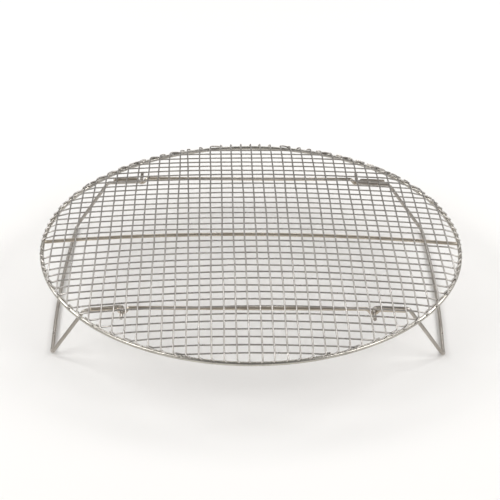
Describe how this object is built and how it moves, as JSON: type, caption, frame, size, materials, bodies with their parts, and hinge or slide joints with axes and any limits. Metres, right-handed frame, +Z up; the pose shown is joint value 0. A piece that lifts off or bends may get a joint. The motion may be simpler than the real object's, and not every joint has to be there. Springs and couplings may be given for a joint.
{
  "type": "cooling rack",
  "caption": "Round wire cooling rack: crowned square mesh in a wire rim, stiffening bars under it, and two bent-wire legs that fold flat beneath.",
  "frame": {"origin": "on the floor under the middle of the rim", "axes": "+Z up; +X to the right, along the crosswise wires and the bars; +Y to the back; legs hinge about lines along Y"},
  "size_m": [0.4788, 0.4788, 0.0782],
  "materials": {
    "rim_wire": "bright plated steel wire with the mesh ends bent over it",
    "mesh_wire": "thin plated steel wire, satin",
    "bar_wire": "thick plated steel wire, slightly warm",
    "leg_wire": "thick plated steel wire, satin"
  },
  "bodies": {
    "deck": {"rim": "rim_wire", "centre_bar": "bar_wire", "front_bar": "bar_wire", "back_bar": "bar_wire", "lengthwise_wires_01": "mesh_wire", "lengthwise_wires_02": "mesh_wire", "lengthwise_wires_03": "mesh_wire", "lengthwise_wires_04": "mesh_wire", "lengthwise_wires_05": "mesh_wire", "lengthwise_wires_06": "mesh_wire", "lengthwise_wires_07": "mesh_wire", "lengthwise_wires_08": "mesh_wire", "lengthwise_wires_09": "mesh_wire", "lengthwise_wires_10": "mesh_wire", "lengthwise_wires_11": "mesh_wire", "lengthwise_wires_12": "mesh_wire", "lengthwise_wires_13": "mesh_wire", "lengthwise_wires_14": "mesh_wire", "lengthwise_wires_15": "mesh_wire", "lengthwise_wires_16": "mesh_wire", "lengthwise_wires_17": "mesh_wire", "lengthwise_wires_18": "mesh_wire", "crosswise_wires_01": "mesh_wire", "crosswise_wires_02": "mesh_wire", "crosswise_wires_03": "mesh_wire", "crosswise_wires_04": "mesh_wire", "crosswise_wires_05": "mesh_wire", "crosswise_wires_06": "mesh_wire", "crosswise_wires_07": "mesh_wire", "crosswise_wires_08": "mesh_wire", "crosswise_wires_09": "mesh_wire", "crosswise_wires_10": "mesh_wire", "crosswise_wires_11": "mesh_wire", "crosswise_wires_12": "mesh_wire", "crosswise_wires_13": "mesh_wire", "crosswise_wires_14": "mesh_wire", "crosswise_wires_15": "mesh_wire", "crosswise_wires_16": "mesh_wire", "crosswise_wires_17": "mesh_wire", "crosswise_wires_18": "mesh_wire"},
    "left_leg": {"left_leg": "leg_wire"},
    "right_leg": {"right_leg": "leg_wire"}
  },
  "joints": [
    {"name": "left_leg_fold", "type": "hinge", "parent": "deck", "child": "left_leg", "pos_m": [-0.1342, 0, 0.06319], "axis": [0, -1, 0], "range_deg": [0, 144]},
    {"name": "right_leg_fold", "type": "hinge", "parent": "deck", "child": "right_leg", "pos_m": [0.1288, 0, 0.06319], "axis": [0, 1, 0], "range_deg": [0, 144]}
  ]
}
